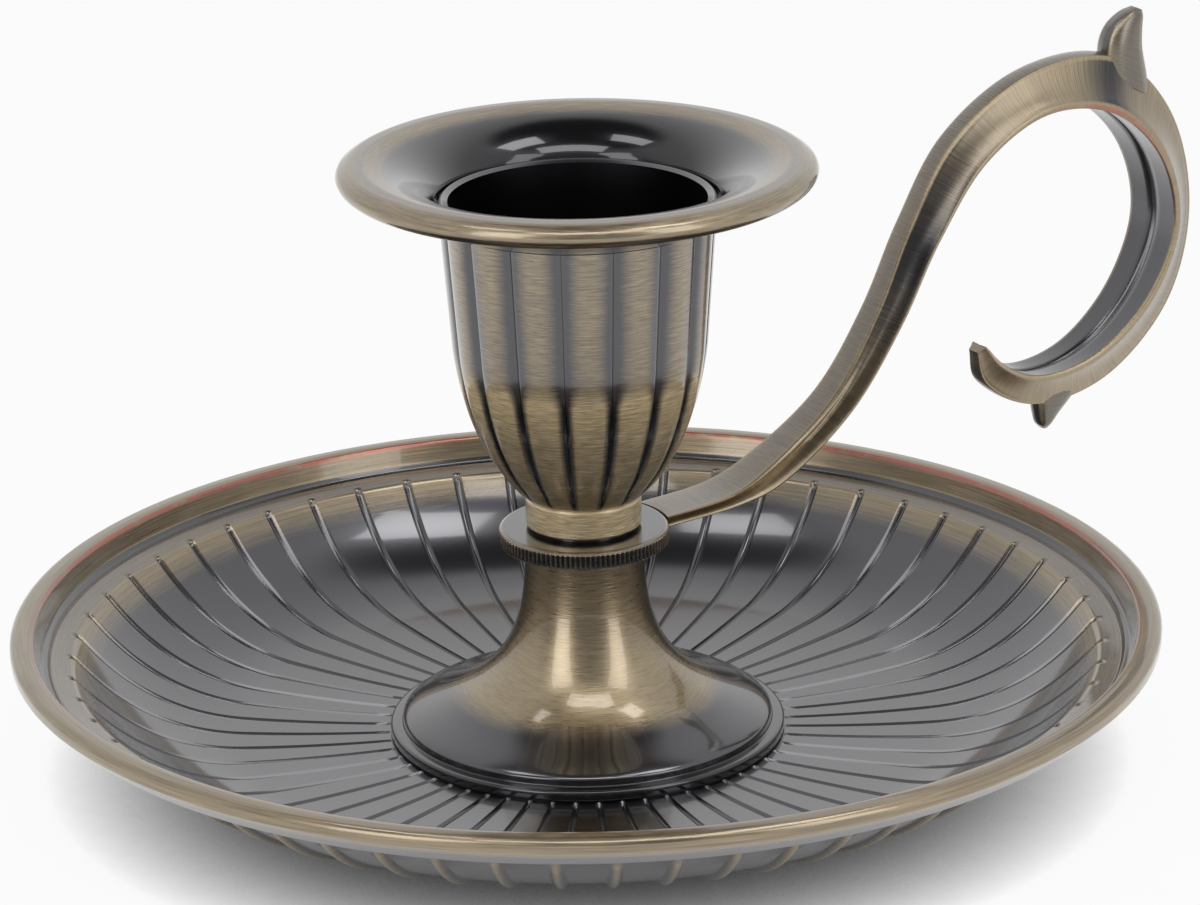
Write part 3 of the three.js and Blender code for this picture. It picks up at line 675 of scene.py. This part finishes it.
def make_flange():
    bore = FLANGE_BORE
    under = rounded([
        (bore, FLANGE_SEAT_Z, 0), (bore + 0.9, FLANGE_SEAT_Z, 0.1),
        (bore + 3.3, FLANGE_SEAT_Z + 0.9, 0.8), (19.6, 53.95, 0.8), (20.9, 54.25, 0.3),
        (21.45, 54.75, 0.3), (FLANGE_RADIUS, 55.3, 0.4), (21.35, 55.8, 0.35), (20.5, 56.3, 0.4),
        (FLANGE_CREST_RADIUS, FLANGE_TOP_Z, 0)], 0.35)
    slope = bezier([(FLANGE_CREST_RADIUS, FLANGE_TOP_Z), (16.6, 55.9), (13.85, 54.8),
                    (bore, 52.85)], 34)
    profile = np.concatenate([under, slope])
    r = profile[:, 0]
    on_slope = np.arange(len(profile)) >= len(under)
    top_rub = SLOPE_RUB * smooth(r, *SLOPE_RUB_RADIUS)
    under_rub = 0.35 + 0.45 * smooth(r, 19, 21)
    return turned_piece("flange_body", profile,
                        brass=np.where(on_slope | (r > 20.8), top_rub, under_rub),
                        # The slope darkens towards the bore: a painted dark reflection on its
                        # patina
                        deep=on_slope * (1 - 0.7 * smooth(r, 16, 18)))


# Handle

def handle_section(wo, wi, valley):
    """Half outline as (y, t), from the middle of the outer face, at t = 0, to the middle of the
    inner one, at t = 1. wo and wi are half the faces' widths, valley is the flank's hollow."""
    crest = [(wo * s, -0.035 * (1 - s * s)) for s in (0, 0.35, 0.7, 0.92)]
    crease = [(wo * 0.985, 0.004), (wo, 0.02), (wo * 0.995, 0.05)]
    flank = []
    for t in np.linspace(0.1, 0.82, 9):
        bow = mix(wo, wi, 0.5 * (t / 0.84) + 0.5 * (t / 0.84) ** 2.6)
        flank.append((bow - valley * math.exp(-((t - 0.45) / 0.18) ** 2), t))
    edge = [(wi, 0.86), (wi, 0.93), (wi * 0.985, 0.975), (wi * 0.95, 1.0)]
    blade = [(wi * s, 1.0 - 0.04 * (1 - s)) for s in (0.85, 0.6, 0.3, 0.1)]
    casting_line = [(wi * 0.05, 0.92), (0, 0.89)]
    return crest + crease + flank + edge + blade + casting_line


def flank_shade(share):
    """Darkness of the sides at a share of the scroll's length, from brushed brass 0 to black 1."""
    return float(sum(height * bump_at(share, *place) for height, *place in FLANK_SHADES))


def make_handle():
    outer = spline([(x, z, w * CREST_WIDTH / 2) for x, z, _, _, w, _ in SCROLL], HANDLE_STEPS)
    inner = spline([(x, z, w * BLADE_WIDTH / 2) for _, _, x, z, _, w in SCROLL], HANDLE_STEPS)
    walked = along_rows(outer[:, :2])
    clear = COLLAR_RADIUS + SEAM_GAP
    points = []
    for k in range(HANDLE_STEPS + 1):
        share = k / HANDLE_STEPS
        shade = flank_shade(share)
        copper = sum(bump_at(share, *place) for place in BLADE_COPPER)
        valley = FLANK_VALLEY * (1 - smooth(share, 0.1, 0.3))
        half = handle_section(outer[k, 2], inner[k, 2], valley)
        for y, t in [(-y, t) for y, t in half] + half[::-1][1:-1]:
            x, z = mix(outer[k, :2], inner[k, :2], t) + (COLLAR_RADIUS, COLLAR_Z)
            if math.hypot(x, y) < clear:
                x = math.sqrt(clear ** 2 - y * y)
            edge = abs(y) / outer[k, 2]
            on_side = abs(y) / inner[k, 2] > 0.9
            flank = 0.06 < t < 0.85
            if flank:
                rub = 0.85 - 0.84 * shade
            elif t <= 0.06:
                rub = mix(0.4, 1.3, edge ** 8)
            else:
                rub = 0.95 if on_side else 0.02
            red = copper * bump_at(t, 0.95, 0.05) * on_side
            points.append((x, y, z, rub, red, shade * flank, walked[k]))
    table = np.array(points, float).reshape(HANDLE_STEPS + 1, -1, 7)
    masks = dict(zip(("brass", "copper", "deep", "along"), np.moveaxis(table[..., 3:], -1, 0)))
    return grid_piece("handle_body", table[..., :3], masks, closed_rows=False, sharp=HANDLE_SHARP)


def make_thorn(name, rows, downwards=False):
    loop = [*THORN_OUTLINE, *((t, -s) for t, s in THORN_OUTLINE[::-1])]
    grid = np.array([[(COLLAR_RADIUS + mix(x0, x1, t), -s * wide / 2, COLLAR_Z + mix(z0, z1, t))
                      for t, s in loop] for x0, z0, x1, z1, wide in spline(rows, THORN_STEPS)])
    if downwards:
        grid = grid[::-1]
    rub = [mix(0.3, 0.95, abs(2 * t - 1) ** 4) if t > 0.04 else 0.2 for t, _ in loop]
    return grid_piece(name, grid, {"brass": [rub] * len(grid),
                                   "along": per_point(np.arange(len(grid)), len(loop))},
                      closed_rows=False, sharp=HANDLE_SHARP)


# Hidden pieces

def make_bolt():
    seat, top = BOLT_SEAT_Z, BOLT_TOP_Z
    piece = turned_piece("bolt_body", rounded([
        (0.001, BOLT_LOW_Z, 0), (BOLT_RADIUS - 0.4, BOLT_LOW_Z, 0),
        (BOLT_RADIUS, BOLT_LOW_Z + 0.4, 0), (BOLT_RADIUS, seat, 0), (HEAD_RADIUS, seat, 0.1),
        (HEAD_RADIUS, top - 0.5, 0.3), (3.7, top - 0.05, 0.3), (0.6, top, 0),
        (0.001, top, 0)], 0.5), sides=SMALL_SIDES)
    slot = bpy.data.meshes.new("slot")
    corners = [(x * MM, y * MM, z * MM) for x in (-5, 5)
               for y in (-SLOT_HALF_WIDTH, SLOT_HALF_WIDTH) for z in (top - SLOT_DEPTH, top + 1)]
    slot.from_pydata(corners, [], [(0, 1, 3, 2), (4, 6, 7, 5), (0, 4, 5, 1), (2, 3, 7, 6),
                                   (0, 2, 6, 4), (1, 5, 7, 3)])
    cutter = linked(bpy.data.objects.new("slot", slot))
    cut = piece.modifiers.new("slot", "BOOLEAN")
    cut.object = cutter
    cut.solver = "EXACT"
    bpy.context.view_layer.update()
    result = piece.evaluated_get(bpy.context.evaluated_depsgraph_get())
    shaped = bpy.data.meshes.new_from_object(result)
    piece.modifiers.clear()
    piece.data = shaped
    bpy.data.objects.remove(cutter)
    return piece


def make_washer():
    low, high = CUP_FLOOR_Z, BOLT_SEAT_Z
    return turned_piece("washer_body", rounded([
        (HOLE_RADIUS, low, 0), (WASHER_RADIUS, low, 0.1), (WASHER_RADIUS, high, 0.15),
        (HOLE_RADIUS, high, 0)], 0.6), sides=SMALL_SIDES)


def make_felt():
    return turned_piece("felt_body", rounded([
        (0.001, 0, 0), (PAD_RADIUS, 0, 0.25), (PAD_RADIUS, PAD_HEIGHT, 0.25),
        (0.001, PAD_HEIGHT, 0)], 1.2), sides=PAD_SIDES)


dark_turned = antique("patina_turned", "around", satin=0.34, gloss=0.07)
stem_brass = antique("brass_stem", "rings", long=0.6, fine=9.0, satin=0.3, wear=0.25)
# The cup's brass is the brighter copy: painted light
cup_brass = antique("brass_cup", "rings", long=0.6, fine=9.0, satin=0.55, wear=0.2,
                    bright=BRASS_PAINTED_LIT)
flange_brass = antique("brass_flange", "around", satin=0.34)
handle_brass = antique("brass_handle", "rings", long=0.3, fine=11.0, satin=0.38, wear=0.4,
                       gloss=0.3)
steel = plain_metal("zinc_steel", ZINC, 0.36)

dress(make_dish(), dark_turned, "dark_brass", "dish")
dress(make_pedestal(), stem_brass, "dark_brass", "pedestal")
dress(make_collar(), dark_turned, "dark_brass", "milled_collar")
dress(make_cup(), cup_brass, "antique_brass", "candle_cup")
dress(make_flange(), flange_brass, "antique_brass", "drip_flange")
dress(make_handle(), handle_brass, "antique_brass", "scroll_handle")
dress(make_thorn("top_thorn", TOP_THORN), handle_brass, "antique_brass", "scroll_handle")
dress(make_thorn("low_thorn", LOW_THORN, downwards=True), handle_brass, "antique_brass",
      "scroll_handle")
dress(make_bolt(), steel, "steel", "tie_bolt")
dress(make_washer(), steel, "steel", "cup_washer")
dress(make_felt(), felt_material(), "felt", "felt_pad")
for hidden in ("base_washer", "base_nut"):
    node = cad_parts[hidden]
    node.data.materials.clear()
    node.data.materials.append(steel)


# Floor, light and camera

def make_floor():
    """White to the camera and in reflections, and grey with the object's shadow in the light."""
    mesh = bpy.data.meshes.new("floor")
    s = 4.0
    mesh.from_pydata([(-s, -s, 0), (s, -s, 0), (s, s, 0), (-s, s, 0)], [], [(0, 1, 2, 3)])
    floor = linked(bpy.data.objects.new("floor", mesh))
    floor.location.z = -0.0003
    n = Nodes(bpy.data.materials.new("floor_white"))
    n.set_shader(Base_Color=FLOOR_GREY, Roughness=0.9, Specular_IOR_Level=0.0)
    path = n.add("ShaderNodeLightPath").outputs
    mirrored = n.math("ADD", path["Is Glossy Ray"], path["Is Transmission Ray"])
    seen = n.math("ADD", path["Is Camera Ray"], mirrored, clamp=True)
    near = n.add("ShaderNodeAmbientOcclusion", {"Distance": SHADOW_REACH},
                 samples=8).outputs["Color"]
    white = n.add("ShaderNodeEmission", {"Color": near, "Strength": 1.0}).outputs[0]
    shown = n.add("ShaderNodeMixShader", {0: n.math("MULTIPLY", seen, FLOOR_SHOWN),
                                          1: n.shader.outputs[0], 2: white}).outputs[0]
    n.put(shown, n.tree.nodes["Material Output"].inputs["Surface"])
    mesh.materials.append(n.owner)


def seen_from_camera(right, away, up):
    """A direction given as the camera's right, level and away from it, and up."""
    return LEVEL_RIGHT * right + LEVEL_AWAY * away + Vector((0, 0, up))


def make_world():
    """White to the camera, a darker ceiling and front in reflections, and dim light."""
    world = bpy.data.worlds.new("studio")
    bpy.context.scene.world = world
    n = Nodes(world)
    n.tree.nodes.clear()
    place = n.add("ShaderNodeTexCoord").outputs["Generated"]

    def towards_a_side(side, low, high, strength):
        """Falls from 1 to the strength as a direction turns to the side."""
        facing = n.add("ShaderNodeVectorMath", {0: place, 1: side}, operation="DOT_PRODUCT")
        return n.span(facing.outputs["Value"], low, high, 1.0, strength,
                      interpolation_type="SMOOTHSTEP")

    ceiling = towards_a_side((0, 0, 1), *CEILING_FADE)
    front = towards_a_side(seen_from_camera(0, -1, 0), *FRONT_FADE)
    path = n.add("ShaderNodeLightPath").outputs
    room = n.level(path["Is Glossy Ray"], ROOM_LIGHT, n.math("MULTIPLY", ceiling, front))
    strength = n.level(path["Is Camera Ray"], room, 1.0)
    back = n.add("ShaderNodeBackground", {"Strength": strength}).outputs[0]
    n.add("ShaderNodeOutputWorld", {0: back})


def softbox(name, direction, size, radiance, distance):
    """Rectangular lamp that faces the cup."""
    data = bpy.data.lights.new(name, "AREA")
    data.shape = "RECTANGLE"
    data.size, data.size_y = size
    data.energy = radiance * size[0] * size[1] * math.pi
    lamp = linked(bpy.data.objects.new(name, data))
    lamp.location = seen_from_camera(*direction).normalized() * distance
    lamp.visible_camera = False
    lamp.rotation_euler = (LAMP_AIM - lamp.location).to_track_quat("-Z", "Y").to_euler()


def make_camera():
    data = bpy.data.cameras.new("camera")
    data.sensor_width = CAMERA_SENSOR
    data.sensor_fit = "HORIZONTAL"
    data.lens = CAMERA_LENS
    data.clip_start = 0.01
    data.clip_end = 50
    camera = linked(bpy.data.objects.new("camera", data))
    turn = Matrix((CAMERA_RIGHT, -CAMERA_DOWN, -CAMERA_FORWARD)).transposed().to_4x4()
    camera.matrix_world = Matrix.Translation(CAMERA_PLACE) @ turn
    bpy.context.scene.camera = camera


make_floor()
make_world()
for lamp_row in LAMPS:
    softbox(*lamp_row)
make_camera()
bpy.context.scene.view_settings.view_transform = "Standard"
